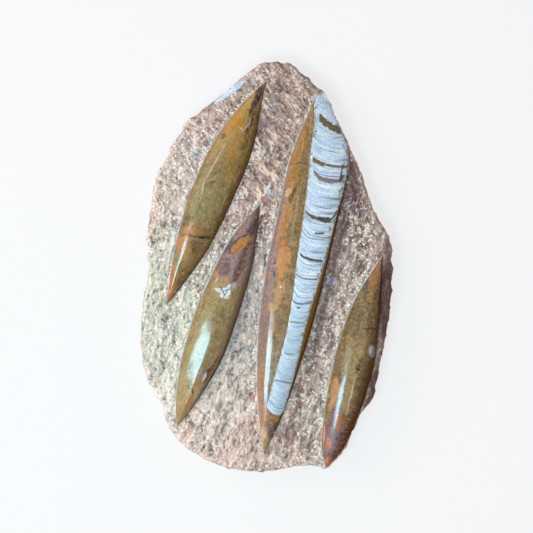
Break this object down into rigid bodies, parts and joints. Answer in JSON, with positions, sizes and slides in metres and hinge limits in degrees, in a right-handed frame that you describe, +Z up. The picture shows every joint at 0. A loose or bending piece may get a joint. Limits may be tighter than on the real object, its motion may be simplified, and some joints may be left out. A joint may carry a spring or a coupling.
{
  "type": "orthoceras fossil plate",
  "caption": "Natural limestone slab lying flat, with polished spindle-shaped orthoceras fossils standing out of its chiselled face, for display.",
  "frame": {"origin": "middle of the plate's bounding box, on its flat back", "axes": "+Z up out of the carved face; +Y along the plate's length, towards its narrow head; +X to the right as the face is looked at with the head at the top"},
  "size_m": [0.2205, 0.3603, 0.041],
  "materials": {
    "chiselled_limestone": "pecked all over with a point chisel, matt, mauve brown to grey green with pale bruises",
    "polished_limestone": "polished to a gloss, olive brown with rust and plum staining",
    "shell_calcite": "white calcite with a cool cast, honed, with dark growth lines"
  },
  "bodies": {
    "root": {"matrix_slab": "chiselled_limestone", "main_spindle": "polished_limestone", "chambered_shell": "shell_calcite", "upper_left_spindle": "polished_limestone", "lower_left_spindle": "polished_limestone", "right_spindle": "polished_limestone", "rim_shell": "shell_calcite"}
  },
  "joints": []
}
